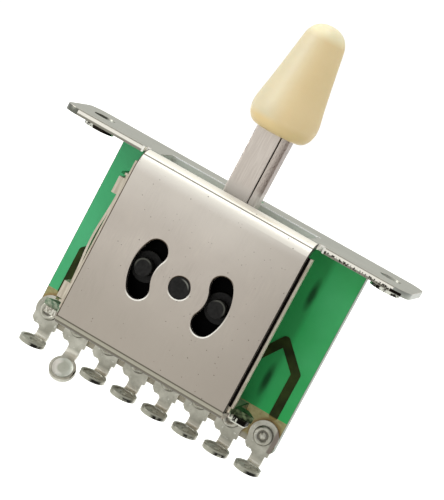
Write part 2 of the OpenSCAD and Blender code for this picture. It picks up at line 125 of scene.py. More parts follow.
def rounded_copy(node, name, edge, material, body, rolled=None):
    """A piece that replaces a CAD node: the same shape with its edges broken.

    The edges that lie inside the box called rolled, in mm, are broken twice as far.
    """
    shape = bmesh.new()
    shape.from_mesh(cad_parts[node].data)
    bmesh.ops.remove_doubles(shape, verts=shape.verts, dist=1e-7)
    bmesh.ops.dissolve_limit(
        shape, angle_limit=math.radians(0.5), verts=shape.verts, edges=shape.edges)
    share = shape.edges.layers.float.new("bevel_weight_edge")
    for line in shape.edges:
        if line.calc_face_angle(0) > math.radians(35):
            inside = rolled and all(
                low * mm <= end.co[axis] <= high * mm
                for end in line.verts for axis, (low, high) in enumerate(rolled))
            line[share] = 1 if inside else 0.5
    mesh = bpy.data.meshes.new(name)
    shape.to_mesh(mesh)
    shape.free()
    mesh.polygons.foreach_set("use_smooth", [True] * len(mesh.polygons))
    mesh.materials.append(material)
    piece = bpy.data.objects.new(name, mesh)
    bpy.context.scene.collection.objects.link(piece)
    breaking = piece.modifiers.new("broken_edges", "BEVEL")
    breaking.width = 2 * edge
    breaking.segments = 2
    breaking.limit_method = "WEIGHT"
    flat = piece.modifiers.new("flat_faces_stay_flat", "WEIGHTED_NORMAL")
    flat.weight = 100
    settle(piece)
    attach(piece, body)
    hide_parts(node)
    return piece


def settle(piece):
    """Turns a piece with modifiers into a plain mesh."""
    evaluated = piece.evaluated_get(bpy.context.evaluated_depsgraph_get())
    mesh = bpy.data.meshes.new_from_object(evaluated)
    piece.modifiers.clear()
    piece.data = mesh


# Nickel-plated cold-rolled steel, barrel plated over the rolled grain: a warm grey
# satin with faint lines down the panel and tiny pits. A painted highlight makes the top
# bend nearly white, painted highlight and shade lie along its sheared edges, some of them ticked, and the
# slot's walls are pale.
nickel, tree = new_finish("nickel_plated_rolled_steel")
place, x, y, z, aside = place_axes(tree)
grain = noise(tree, place, 0.16, (1, 1, 9))
cloud = noise(tree, place, 5)
pits = specks(tree, place, 0.55, 0.085, 0.8)
colour = over(tree, cloud, linear("#BAB1A8"), linear("#C8BFB5"))
colour = over(tree, grain, colour, linear("#C1B8AF"))
on_panel = within(tree, y, -9, -8.75)
# Painted highlight: the panel grows lighter up towards the top bend.
painted_sheen = add(tree, "ShaderNodeMapRange", {
    0: z, 1: -9 * mm, 2: -2.5 * mm, 3: 0, 4: 0.45}, interpolation_type="SMOOTHSTEP").outputs[0]
colour = over(tree, product(tree, painted_sheen, within(tree, y, -9, -7)), colour, linear("#E4DED5"))
# Painted highlight: the top bend itself is nearly white.
painted_sheen = add(tree, "ShaderNodeMapRange", {
    0: z, 1: -3 * mm, 2: -0.9 * mm, 3: 0, 4: 0.6}, interpolation_type="SMOOTHSTEP").outputs[0]
bend_highlight = product(tree, painted_sheen, within(tree, y, -9, -6.3))
colour = over(tree, bend_highlight, colour, linear("#F4F2E6"))
# Painted shade: the panel is darker towards the bottom and towards the right.
painted_shade = add(tree, "ShaderNodeMapRange", {
    0: z, 1: -23 * mm, 2: -8 * mm, 3: 0.75, 4: 0}, interpolation_type="SMOOTHSTEP").outputs[0]
colour = over(tree, product(tree, painted_shade, on_panel), colour, linear("#A89F94"))
painted_shade = add(tree, "ShaderNodeMapRange", {0: x, 1: 2 * mm, 2: 12 * mm, 3: 0, 4: 0.5}).outputs[0]
colour = over(tree, product(tree, painted_shade, on_panel), colour, linear("#9D948A"))
colour = over(tree, add(tree, "ShaderNodeMath", {0: pits, 1: 0.75}, operation="MULTIPLY").outputs[0],
              colour, linear("#6C645C"))
# Punching has rolled the openings' rims: a painted highlight lies on their lower side
# and a thin brown painted shade on their upper side. The nearest curved slot is found by turning round the
# pivot, no further than the lever swings.
pivot_depth = 12.6 * mm
post_ring_r = 5.2 * mm
swing = math.radians(28)
up = add(tree, "ShaderNodeMath", {0: z, 1: pivot_depth}, operation="ADD").outputs[0]
turned = add(tree, "ShaderNodeMath", {0: up, 1: aside}, operation="ARCTAN2").outputs[0]
turned = add(tree, "ShaderNodeClamp", {"Value": turned, "Min": -swing, "Max": swing}).outputs[0]
middle_x = add(tree, "ShaderNodeMath", {0: turned}, operation="COSINE").outputs[0]
middle_z = add(tree, "ShaderNodeMath", {0: turned}, operation="SINE").outputs[0]
side = add(tree, "ShaderNodeMath", {0: x}, operation="SIGN").outputs[0]
middle_x = product(tree, middle_x, side)
middle = add(tree, "ShaderNodeCombineXYZ", {0: middle_x, 2: middle_z}).outputs[0]
middle = add(tree, "ShaderNodeVectorMath", {0: middle, "Scale": post_ring_r}, operation="SCALE").outputs[0]
flat = add(tree, "ShaderNodeCombineXYZ", {0: x, 2: up}).outputs[0]
for centre, rim in ((middle, 1.52), ((0, 0, 0), 1.42)):
    off = add(tree, "ShaderNodeVectorMath", {0: flat, 1: centre}, operation="SUBTRACT").outputs[0]
    far = add(tree, "ShaderNodeVectorMath", {0: off}, operation="LENGTH").outputs["Value"]
    way = add(tree, "ShaderNodeVectorMath", {0: off}, operation="NORMALIZE").outputs[0]
    low_side = add(tree, "ShaderNodeVectorMath", {
        0: way, 1: (0.35, 0, -0.94)}, operation="DOT_PRODUCT").outputs["Value"]
    lit = add(tree, "ShaderNodeMapRange", {0: low_side, 1: 0.25, 2: 0.8}).outputs[0]
    unlit = add(tree, "ShaderNodeMapRange", {0: low_side, 1: -0.2, 2: -0.7}).outputs[0]
    white = product(tree, lit, within(tree, far, rim - 0.2, rim + 0.12, 0.06))
    brown = product(tree, unlit, within(tree, far, rim - 0.2, rim + 0.06, 0.06))
    colour = over(tree, product(tree, on_panel, white), colour, linear("#F7F4EC"))
    colour = over(tree, product(tree, on_panel, brown), colour, linear("#54483B"))
# A thin dull line is painted along the top bend, and painted shade darkens the slot's lip.
in_front = within(tree, y, -10, -6.4)
colour = over(tree, product(tree, within(tree, z, -0.72, -0.62, 0.05), in_front), colour, linear("#625F57"))
lip = product(tree, within(tree, y, -6.3, -6.0), within(tree, aside, 0, 11.9), within(tree, z, -0.3, 1))
colour = over(tree, lip, colour, linear("#3E3C35"))
# Painted shade on the lower bend: a dark line across it and a greyer band round it.
low_bend = product(
    tree, within(tree, z, -24.1, -22.95), within(tree, aside, 0, 11.9), within(tree, y, -9, -7.9))
bend_shading = over(tree, within(tree, z, -23.5, -23.12), linear("#696459"), linear("#A19D8F"))
colour = over(tree, low_bend, colour, bend_shading)
# Painted shade darkens the folded sheet's right edge nearly black and its left edge brown.
panel_side = product(tree, within(tree, z, -23.1, 0), within(tree, y, -10, -6.3))
colour = over(tree, product(tree, panel_side, within(tree, x, 11.9, 13)), colour, linear("#1C1410"))
colour = over(tree, product(tree, panel_side, within(tree, x, -13, -11.86)), colour, linear("#4A3B31"))
# The ears' front edges carry a painted highlight along the middle and painted shade above
# and below it, and are ticked by the shear on the right. Painted shade greys the tips and the screw holes'
# walls, darkest at the left, and blackens the recess at the right tip.
# The collars and the flange's ends carry painted reflections as dark and pale mottling, the flange's ends
# also a painted highlight line and painted shade, and the relief notches a painted highlight.
ear_edge = product(
    tree, within(tree, y, -7, -6.03), within(tree, aside, 12.1, 30), within(tree, z, -1, -0.03))
edge_tone = over(tree, within(tree, z, -0.46, -0.16, 0.1), linear("#8B887D"), linear("#F2EEE4"))
ticks = noise(tree, place, 0.26, (0.7, 1, 1.4), low=0.49, high=0.53)
ticks = product(tree, ticks, within(tree, x, 12, 30), within(tree, z, -0.7, -0.38))
edge_tone = over(tree, ticks, edge_tone, linear("#2E2822"))
colour = over(tree, ear_edge, colour, edge_tone)
tip = product(tree, within(tree, aside, 22.3, 30), within(tree, z, -1, -0.06))
tip_tone = over(tree, within(tree, x, 0, 30), linear("#66675F"), linear("#9FA19A"))
colour = over(tree, tip, colour, tip_tone)
recess = product(tree, within(tree, x, 22.0, 23.4), within(tree, z, -0.74, -0.42), within(tree, y, -7, -2))
colour = over(tree, recess, colour, linear("#14110E"))
notch = product(
    tree, within(tree, aside, 11.9, 12.9), within(tree, y, -6.1, -4.9), within(tree, z, -0.8, -0.05))
colour = over(tree, notch, colour, linear("#F4F2EA"))
hole = product(
    tree, within(tree, aside, 19.1, 22.2), within(tree, y, -1.6, 1.6), within(tree, z, -3, -0.04))
hole_tone = over(tree, within(tree, x, -20.5, 30, 0.3), linear("#55564D"), linear("#A9AAA0"))
colour = over(tree, hole, colour, hole_tone)
collar = product(tree, within(tree, aside, 17, 30), within(tree, z, -3, -0.83))
collar_reflections = noise(tree, place, 0.9, low=0.46, high=0.54)
colour = over(tree, collar, colour, over(tree, collar_reflections, linear("#211D18"), linear("#D9D9CF")))
flange_end = product(tree, within(tree, aside, 12.1, 16), within(tree, z, -25, -22.9))
end_reflection_mottle = noise(tree, place, 0.24, (0.6, 1, 2), low=0.48, high=0.52)
end_tone = over(tree, end_reflection_mottle, linear("#12100D"), linear("#C9CABD"))
end_tone = over(tree, within(tree, x, 13.4, 16, 0.1), end_tone, linear("#12100D"))
end_tone = over(tree, within(tree, z, -24.1, -23.86, 0.03), end_tone, linear("#D5D5CA"))
end_tone = over(tree, within(tree, z, -23.3, -22.9, 0.03), end_tone, linear("#1B1915"))
left_tone = over(tree, end_reflection_mottle, linear("#9A9488"), linear("#D2D0C4"))
end_tone = over(tree, within(tree, x, -16, 0), end_tone, left_tone)
colour = over(tree, flange_end, colour, end_tone)
# The lever slot's walls are pale grey-green, the back one's upper edge carries a painted white highlight, and
# these and the top bend's painted highlight are not metallic.
wall = product(tree, within(tree, aside, 0, 10.7), within(tree, y, -6.1, 0.5), within(tree, z, -0.9, -0.09))
edge = product(tree, within(tree, aside, 0, 10.7), within(tree, y, 0.3, 0.5), within(tree, z, -0.08, 0.1))
colour = over(tree, wall, colour, linear("#CDD3C8"))
colour = over(tree, edge, colour, (1, 1, 1, 1))
not_metallic = add(tree, "ShaderNodeMath", {0: wall, 1: edge}, operation="ADD", use_clamp=True)
not_metallic = add(tree, "ShaderNodeMath", {0: not_metallic.outputs[0], 1: bend_highlight}, operation="ADD", use_clamp=True)
metal = add(tree, "ShaderNodeMath", {0: 1, 1: not_metallic.outputs[0]}, operation="SUBTRACT")
grain_bump = add(tree, "ShaderNodeBump", {"Strength": 0.2, "Distance": 0.01 * mm, "Height": grain})
pit_bump = add(tree, "ShaderNodeBump", {
    "Strength": 0.7, "Distance": 0.04 * mm, "Height": pits, "Normal": grain_bump.outputs[0]}, invert=True)
shader = add(tree, "ShaderNodeBsdfPrincipled", {
    "Base Color": colour, "Metallic": metal.outputs[0], "Roughness": 0.36, "Normal": pit_bump.outputs[0]})
add(tree, "ShaderNodeOutputMaterial", {0: shader.outputs[0]})

# The rims of the panel's three openings are rolled wider than the other edges.
openings = ((-8, 8), (-8.95, -8.85), (-20, -5))
rounded_copy("frame", "mounting_frame", 0.09 * mm, nickel, "base", openings)


# ---- Spring plate
# A second steel sheet stands 0.4 mm behind the front panel. Its bent hooks hold the
# leaf spring and its two tabs grip the circuit board.

# Bare spring-hard strip, sheared: pale warm metal with fine streaks. The strip beside the
# panel's right edge is painted nearly black as shade, and the lip below is painted in shade mottled with
# green reflections of the board.
strip, tree = new_finish("sheared_spring_strip")
place, x, y, z, aside = place_axes(tree)
streak = noise(tree, place, 0.2, (1, 1, 10))
green_reflection_mottle = noise(tree, place, 0.4)
colour = over(tree, streak, linear("#B9AE9C"), linear("#D3CABA"))
gap_shade = product(tree, within(tree, x, 11.5, 12.18), within(tree, y, -8, -6.95), within(tree, z, -22.2, 0))
colour = over(tree, gap_shade, colour, linear("#120D0A"))
lip = product(tree, within(tree, z, -24, -22.3), within(tree, aside, 12.3, 16))
colour = over(tree, lip, colour, over(tree, green_reflection_mottle, linear("#1F2A18"), linear("#6F7C5C")))
left_lip = product(tree, lip, within(tree, x, -16, 0))
colour = over(tree, left_lip, colour, over(tree, green_reflection_mottle, linear("#56705A"), linear("#A5AD98")))
# The leaf's turned feet are shaded green by the board behind them.
foot_top = product(tree, within(tree, x, -16, -13.15), within(tree, z, -4.45, 0))
foot_low = product(tree, within(tree, x, -16, -13.15), within(tree, z, -22.3, -21.25))
colour = over(tree, foot_top, colour, linear("#2F7447"))
colour = over(tree, foot_low, colour, linear("#6F7350"))
streak_bump = add(tree, "ShaderNodeBump", {"Strength": 0.3, "Distance": 0.01 * mm, "Height": streak})
shader = add(tree, "ShaderNodeBsdfPrincipled", {
    "Base Color": colour, "Metallic": 0.9, "Roughness": 0.38, "Normal": streak_bump.outputs[0]})
add(tree, "ShaderNodeOutputMaterial", {0: shader.outputs[0]})

rounded_copy("spring_plate", "inner_spring_plate", 0.06 * mm, strip, "base")


# ---- Detent leaf
# The leaf is a thin strip of spring steel, bowed between the two hooks. The nose
# pressed out of its middle drops into the rotor's notches.
rounded_copy("detent_spring", "detent_leaf", 0.04 * mm, strip, "base")


# ---- Rotor
# The rotor is moulded in one piece of black phenolic: pivot pins, two guide posts
# that show through the panel's curved slots, the lever's socket and the notches.

# Moulded black phenolic: near black, faintly brown, with a fine skin and a dull gloss.
phenolic, tree = new_finish("moulded_black_phenolic")
place, x, y, z, aside = place_axes(tree)
skin = noise(tree, place, 0.35)
colour = over(tree, skin, linear("#0D0C0B"), linear("#1A1918"))
# A painted highlight greys the upper right side of the posts' and the pivot's rims, and the deep face is
# painted pure black as shade, with little gloss.
up = add(tree, "ShaderNodeMath", {0: z, 1: pivot_depth}, operation="ADD").outputs[0]
beside = add(tree, "ShaderNodeMath", {0: aside, 1: post_ring_r}, operation="SUBTRACT").outputs[0]
in_sight = within(tree, y, -10, -8.2)
for across, rim, start, grey in ((beside, 0.95, 0.1, "#45453F"), (x, 1.02, 0.75, "#8A8A82")):
    flat = add(tree, "ShaderNodeCombineXYZ", {0: across, 2: up}).outputs[0]
    far = add(tree, "ShaderNodeVectorMath", {0: flat}, operation="LENGTH").outputs["Value"]
    high = add(tree, "ShaderNodeVectorMath", {
        0: flat, 1: (0.5, 0, 0.86)}, operation="DOT_PRODUCT").outputs["Value"]
    lit = add(tree, "ShaderNodeMapRange", {0: high, 1: start * mm, 2: (start + 0.5) * mm}).outputs[0]
    wear_and_sheen = product(tree, in_sight, lit, within(tree, far, rim, rim + 0.1, 0.08))
    colour = over(tree, wear_and_sheen, colour, linear(grey))
deep = within(tree, y, -6.9, 10, 0.3)
colour = over(tree, deep, colour, (0.0008, 0.0007, 0.0007, 1))
gloss = add(tree, "ShaderNodeMapRange", {0: deep, 3: 0.17, 4: 0.02})
skin_bump = add(tree, "ShaderNodeBump", {"Strength": 0.2, "Distance": 0.02 * mm, "Height": skin})
shader = add(tree, "ShaderNodeBsdfPrincipled", {
    "Base Color": colour, "Roughness": 0.4,
    "Specular IOR Level": gloss.outputs[0], "Normal": skin_bump.outputs[0]})
add(tree, "ShaderNodeOutputMaterial", {0: shader.outputs[0]})

rounded_copy("rotor", "moulded_rotor", 0.12 * mm, phenolic, "lever")


# ---- Lever
# The lever is a steel strip folded over lengthwise, so its front shows a flat leg, a
# seam and a narrow rounded fold. A cross pin keeps it in the rotor's socket.
# Nickel-plated strip, folded after plating: streaked along the lever. Painted shade browns the
# rounded fold towards its right edge, where it is mottled darker, and the left edge is dotted darker.
folded, tree = new_finish("nickel_plated_folded_strip")
place, x, y, z, aside = place_axes(tree)
grain = noise(tree, place, 0.14, (1, 1, 14))
wear_and_sheen = noise(tree, place, 0.13, (1, 1, 2.5), low=0.48, high=0.72)
colour = over(tree, grain, linear("#C9BFB6"), linear("#D5CCC3"))
fold_shade = add(tree, "ShaderNodeMapRange", {0: x, 1: 1.3 * mm, 2: 2.3 * mm, 3: 0.15, 4: 1}).outputs[0]
fold = product(tree, fold_shade, within(tree, x, 1.28, 3, 0.02))
colour = over(tree, fold, colour, linear("#968880"))
colour = over(tree, product(tree, wear_and_sheen, fold), colour, linear("#5C4D47"))
colour = over(tree, product(tree, wear_and_sheen, within(tree, x, -3, -2.15, 0.08)), colour, linear("#4E4444"))
# Painted highlight: the foot is lighter and less metallic.
foot = within(tree, z, -3, 0.9, 0.8)
colour = over(tree, foot, colour, linear("#D6CDC4"))
metal = add(tree, "ShaderNodeMapRange", {0: foot, 3: 1, 4: 0.35})
grain_bump = add(tree, "ShaderNodeBump", {"Strength": 0.4, "Distance": 0.012 * mm, "Height": grain})
shader = add(tree, "ShaderNodeBsdfPrincipled", {
    "Base Color": colour, "Metallic": metal.outputs[0], "Roughness": 0.36, "Normal": grain_bump.outputs[0]})
add(tree, "ShaderNodeOutputMaterial", {0: shader.outputs[0]})

rounded_copy("lever_blade", "folded_lever", 0.06 * mm, folded, "lever")
rounded_copy("lever_pin", "lever_cross_pin", 0.05 * mm, folded, "lever")


# ---- Tip
# The tip is moulded plastic, a round-topped cone with a soft belly. It pushes onto
# the lever and stays by friction.
tip_centre_y = -1.65 * mm
tip_profile = [
    (2.5, 8.72), (3.1, 8.8), (3.6, 9.05), (4.0, 9.5), (4.28, 10.1), (4.43, 10.8), (4.43, 11.4),
    (4.36, 12.0), (4.2, 12.8), (3.9, 14.3), (3.56, 16.2), (3.22, 18.2), (2.94, 19.9), (2.72, 21.2),
    (2.5, 21.9), (2.08, 22.56), (1.48, 23.03), (0.75, 23.31)]
tip_turns = 96
tip_roundness = 1.8
slot_half_x = 2.3 * mm
slot_half_y = 1.49 * mm


def smoothed(points, steps):
    """Catmull-Rom curve through the points."""
    ends = [points[0]] + points + [points[-1]]
    line = []
    for a, b, c, d in zip(ends, ends[1:], ends[2:], ends[3:]):
        for k in range(steps):
            t = k / steps
            line.append(tuple(
                0.5 * (2 * b[i] + (c[i] - a[i]) * t + (2 * a[i] - 5 * b[i] + 4 * c[i] - d[i]) * t * t
                       + (3 * b[i] - a[i] - 3 * c[i] + d[i]) * t ** 3) for i in (0, 1)))
    return line + [points[-1]]


def ring(shape, radius, height):
    """One ring of the tip's skin. A roundness under 2 leaves a soft ridge on each axis."""
    points = []
    for turn in range(tip_turns):
        x = math.cos(turn * math.tau / tip_turns)
        y = math.sin(turn * math.tau / tip_turns)
        reach = radius / (abs(x) ** tip_roundness + abs(y) ** tip_roundness) ** (1 / tip_roundness)
        points.append(shape.verts.new((x * reach, tip_centre_y + y * reach, height)))
    return points


def slot_ring(shape, height):
    """The lever slot's mouth, with one point for each turn of the skin."""
    points = []
    for turn in range(tip_turns):
        x = math.cos(turn * math.tau / tip_turns)
        y = math.sin(turn * math.tau / tip_turns)
        reach = min(slot_half_x / max(abs(x), 1e-6), slot_half_y / max(abs(y), 1e-6))
        points.append(shape.verts.new((x * reach, tip_centre_y + y * reach, height)))
    return points


def band(shape, low, high):
    """Quads between two rings, facing outwards when high is above low."""
    for k in range(len(low)):
        n = (k + 1) % len(low)
        shape.faces.new((low[k], low[n], high[n], high[k]))


# Moulded cream ABS: soft gloss, a little light goes into it. Painted shade makes its right side and its
# underside a deeper yellow, and a painted highlight pales its top.
cream, tree = new_finish("moulded_cream_abs")
place, x, y, z, aside = place_axes(tree)
shade_tint = add(tree, "ShaderNodeMapRange", {
    0: x, 1: -1.6 * mm, 2: 1.4 * mm}, interpolation_type="SMOOTHSTEP").outputs[0]
colour = over(tree, shade_tint, linear("#CFC3A2"), linear("#E2CA99"))
colour = over(tree, noise(tree, place, 4), colour, over(tree, 0.2, colour, linear("#F0DDB0")))
colour = over(tree, within(tree, z, 8, 9.9, 0.7), colour, linear("#DCC48F"))
colour = over(tree, within(tree, z, 22.3, 24, 0.9), colour, linear("#E8DEB8"))
mould_bump = add(tree, "ShaderNodeBump", {
    "Strength": 0.06, "Distance": 0.02 * mm, "Height": noise(tree, place, 0.3)})
shader = add(tree, "ShaderNodeBsdfPrincipled", {
    "Base Color": colour, "Roughness": 0.42, "Subsurface Weight": 0.12,
    "Subsurface Radius": (1, 0.6, 0.3), "Subsurface Scale": 0.6 * mm, "Normal": mould_bump.outputs[0]})
add(tree, "ShaderNodeOutputMaterial", {0: shader.outputs[0]})

shape = bmesh.new()
rings = [slot_ring(shape, 14.2 * mm), slot_ring(shape, 8.72 * mm), slot_ring(shape, 8.71 * mm)]
rings += [ring(shape, r * mm, z * mm) for r, z in smoothed(tip_profile, 5)]
for lower, upper in zip(rings, rings[1:]):
    band(shape, lower, upper)
apex = shape.verts.new((0, tip_centre_y, 23.38 * mm))
for k in range(tip_turns):
    shape.faces.new((rings[-1][k], rings[-1][(k + 1) % tip_turns], apex))
shape.faces.new(list(reversed(rings[0])))
bmesh.ops.recalc_face_normals(shape, faces=shape.faces)
mesh = bpy.data.meshes.new("lever_tip")
shape.to_mesh(mesh)
shape.free()
mesh.polygons.foreach_set("use_smooth", [True] * len(mesh.polygons))
mesh.set_sharp_from_angle(angle=math.radians(50))
mesh.materials.append(cream)
tip = bpy.data.objects.new("lever_tip", mesh)
bpy.context.scene.collection.objects.link(tip)
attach(tip, "lever")
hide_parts("knob")


# ---- Circuit board
# A 1.6 mm laminate board closes the back. Its tab stands in the plate, two tabs of
# the spring plate pass through it, and green solder mask covers all but its foot.
lug_pitch = 4.53
pad_z = -25.15
mask_foot_z = -22.56

# Epoxy-glass laminate under green solder mask: glossy green, painted lighter to the left as light and deeper
# green to the right as shade, with bare khaki laminate below the mask's edge, grey-brown cut edges and
# scorched rings.
board_finish, tree = new_finish("green_masked_laminate")
place, x, y, z, aside = place_axes(tree)
patch = noise(tree, place, 9, low=0.3, high=0.7)
sideways = add(tree, "ShaderNodeMapRange", {0: x, 1: -12 * mm, 2: 12 * mm}).outputs[0]
mask_left = over(tree, patch, linear("#3FAE70"), linear("#4DBA7F"))
mask_right = over(tree, patch, linear("#22AC54"), linear("#42BA6F"))
colour = over(tree, sideways, mask_left, mask_right)
# Painted shadow darkens the mask beside the panel's right edge and at its upper left, and painted shade lies
# in two soft dark patches at the right.
front_face = within(tree, y, 2, 2.45)
colour = over(tree, product(tree, front_face, within(tree, x, 9, 13, 0.7)), colour, linear("#2C9650"))
colour = over(tree, product(tree, front_face, within(tree, x, -14.6, -13, 0.3), within(tree, z, -5.6, 0, 0.4),
                            noise(tree, place, 0.9)), colour, linear("#2E6E45"))
for middle in (-6.9, -18.9):
    across = add(tree, "ShaderNodeMath", {0: x, 1: 12.75 * mm}, operation="SUBTRACT")
    along = add(tree, "ShaderNodeMath", {0: z, 1: middle * mm}, operation="SUBTRACT")
    flat = add(tree, "ShaderNodeCombineXYZ", {0: across.outputs[0], 2: along.outputs[0]})
    squeezed = add(tree, "ShaderNodeVectorMath", {
        0: flat.outputs[0], 1: (1 / (0.55 * mm), 0, 1 / (2.3 * mm))}, operation="MULTIPLY")
    far = add(tree, "ShaderNodeVectorMath", {0: squeezed.outputs[0]}, operation="LENGTH")
    soft = add(tree, "ShaderNodeMapRange", {0: far.outputs[1], 1: 0.35, 2: 1.15, 3: 0.9, 4: 0})
    colour = over(tree, product(tree, front_face, soft.outputs[0]), colour, linear("#063F1C"))
# Heat from the soldering has browned the laminate round each pad.
pitch_share = add(tree, "ShaderNodeMath", {0: x, 1: lug_pitch * mm}, operation="DIVIDE")
shifted = add(tree, "ShaderNodeMath", {0: pitch_share.outputs[0], 1: 20}, operation="ADD")
pitch_part = add(tree, "ShaderNodeMath", {0: shifted.outputs[0]}, operation="FRACT")
pad_side = add(tree, "ShaderNodeMath", {0: pitch_part.outputs[0], 1: 0.5}, operation="SUBTRACT")
pad_x = add(tree, "ShaderNodeMath", {0: pad_side.outputs[0], 1: lug_pitch * mm}, operation="MULTIPLY")
pad_up = add(tree, "ShaderNodeMath", {0: z, 1: pad_z * mm}, operation="SUBTRACT")
pad_place = add(tree, "ShaderNodeCombineXYZ", {0: pad_x.outputs[0], 2: pad_up.outputs[0]})
pad_far = add(tree, "ShaderNodeVectorMath", {0: pad_place.outputs[0]}, operation="LENGTH")
scorch = add(tree, "ShaderNodeMapRange", {0: pad_far.outputs[1], 1: 2.0 * mm, 2: 2.4 * mm, 3: 0.65, 4: 0})
foot = over(tree, noise(tree, place, 0.5), linear("#928C5C"), linear("#A9A272"))
foot = over(tree, scorch.outputs[0], foot, linear("#9A6E3A"))
foot = over(tree, within(tree, z, -30, -26.3, 0.4), foot, linear("#B5AF9E"))
colour = over(tree, within(tree, z, -30, mask_foot_z, 0.05), colour, foot)
colour = over(tree, within(tree, aside, 17.71, 20), colour, linear("#6F7A68"))
shader = add(tree, "ShaderNodeBsdfPrincipled", {
    "Base Color": colour, "Roughness": 0.34, "Specular IOR Level": 0.3})
add(tree, "ShaderNodeOutputMaterial", {0: shader.outputs[0]})

rounded_copy("circuit_board", "circuit_board_laminate", 0.05 * mm, board_finish, "base")


# ---- Copper on the board
# Etched copper: two runs under the mask down to the end lugs, and the bare tracks
# that the wipers slide on, hidden behind the rotor.

# Etched copper under solder mask: a dark olive run, a little raised. Below the mask's
# edge its end is browned like the laminate.
masked_copper, tree = new_finish("etched_copper_under_mask")
place, x, y, z, aside = place_axes(tree)
colour = over(tree, noise(tree, place, 2), linear("#1F260F"), linear("#323F18"))
colour = over(tree, within(tree, z, -30, mask_foot_z - 0.15, 0.2), colour, linear("#8B7A47"))
shader = add(tree, "ShaderNodeBsdfPrincipled", {
    "Base Color": colour, "Roughness": 0.4, "Specular IOR Level": 0.1})
add(tree, "ShaderNodeOutputMaterial", {0: shader.outputs[0]})
rounded_copy("board_traces", "masked_copper_runs", 0.02 * mm, masked_copper, "base")

# Bare etched copper, polished where the wipers run.
bare_copper, tree = new_finish("bare_etched_copper")
place = add(tree, "ShaderNodeTexCoord").outputs["Object"]
rub = add(tree, "ShaderNodeTexNoise", {"Vector": place, "Scale": 1500, "Detail": 2})
copper_tone = add(tree, "ShaderNodeMix", {
    0: rub.outputs[0], 6: linear("#A86B43"), 7: linear("#D09A6C")}, data_type="RGBA")
shader = add(tree, "ShaderNodeBsdfPrincipled", {
    "Base Color": copper_tone.outputs[2], "Metallic": 1, "Roughness": 0.3})
add(tree, "ShaderNodeOutputMaterial", {0: shader.outputs[0]})
rounded_copy("contact_tracks", "contact_track_arcs", 0.02 * mm, bare_copper, "base")


# ---- Solder lugs
# Eight stamped brass lugs stand along the board's foot, each under one rivet. Their
# necks are bent forward and each eye is pressed into a shallow dish for its wire.

# Hot-dip tinned brass, handled: dull warm grey metal in soft patches.
tinned, tree = new_finish("dull_tinned_brass")
place, x, y, z, aside = place_axes(tree)
dull = noise(tree, place, 1.6)
colour = over(tree, dull, linear("#A6A497"), linear("#C6C4B8"))
grime = noise(tree, place, 0.5, low=0.55, high=0.85)
colour = over(tree, grime, colour, linear("#8B897D"))
shine = noise(tree, place, 0.5, low=0.64, high=0.8, detail=1)
colour = over(tree, shine, colour, linear("#E3E3DA"))
# Painted shade browns the last lug's right rim, and the rivets' grooves are painted darker.
rim = product(tree, within(tree, x, 17.25, 18, 0.2), within(tree, z, -26.8, -23), within(tree, y, 1.8, 2.4))
colour = over(tree, rim, colour, linear("#837971"))
groove = product(tree, within(tree, y, 1.46, 1.87, 0.03), within(tree, z, -27, -23))
colour = over(tree, groove, colour, linear("#76736A"))
# A painted highlight lies across the necks at the bend.
neck_highlight = product(tree, within(tree, z, -28.75, -28.25, 0.35), within(tree, y, 1.2, 2))
colour = over(tree, neck_highlight, colour, linear("#D9D6C9"))
# Painted shade darkens the faces of the bent eyes that turn to the front, with black patches at the lower
# right.
facing = add(tree, "ShaderNodeSeparateXYZ", {0: add(tree, "ShaderNodeTexCoord").outputs["Normal"]})
facing = add(tree, "ShaderNodeMapRange", {0: facing.outputs[1], 1: -0.2, 2: -0.6}).outputs[0]
second = within(tree, x, -13.3, -9)
others = add(tree, "ShaderNodeMath", {0: 1, 1: second}, operation="SUBTRACT").outputs[0]
eye_edge = product(tree, facing, others, within(tree, z, -32, -28.75, 0.1), within(tree, y, -3.5, 0.6))
colour = over(tree, eye_edge, colour, linear("#9C9B8E"))
share = add(tree, "ShaderNodeMath", {0: x, 1: lug_pitch * mm}, operation="DIVIDE").outputs[0]
share = add(tree, "ShaderNodeMath", {0: share, 1: 19.89}, operation="ADD").outputs[0]
share = add(tree, "ShaderNodeMath", {0: share}, operation="FRACT").outputs[0]
right_half = add(tree, "ShaderNodeMapRange", {0: share, 1: 0.5, 2: 0.62}).outputs[0]
black_patches = product(
    tree, right_half, within(tree, z, -32, -29.15, 0.15), noise(tree, place, 0.8, low=0.35, high=0.5))
colour = over(tree, product(tree, eye_edge, black_patches), colour, linear("#16140F"))
dip_bump = add(tree, "ShaderNodeBump", {
    "Strength": 0.22, "Distance": 0.04 * mm, "Height": noise(tree, place, 0.6)})
shader = add(tree, "ShaderNodeBsdfPrincipled", {
    "Base Color": colour, "Metallic": 0.78, "Roughness": 0.38, "Normal": dip_bump.outputs[0]})
add(tree, "ShaderNodeOutputMaterial", {0: shader.outputs[0]})

for number in range(1, 9):
    rounded_copy(f"solder_lug_{number}", f"tinned_lug_{number}", 0.07 * mm, tinned, "base")


# ---- Lug rivets
# Each lug is clamped by one rolled brass rivet: a low domed head with a dimple in
# front, and a spread foot behind the board.
rivet_count = 8
rivet_profile = [
    (0.0, 1.26), (0.2, 1.27), (0.34, 1.33), (0.46, 1.45), (0.56, 1.54), (0.66, 1.53), (0.76, 1.4),
    (0.88, 1.31), (1.0, 1.3), (1.12, 1.36), (1.23, 1.52), (1.29, 1.7), (1.3, 1.88), (0.6, 1.9),
    (0.6, 4.0), (1.02, 4.0), (1.04, 4.2), (0.8, 4.36), (0.3, 4.4), (0.0, 4.4)]

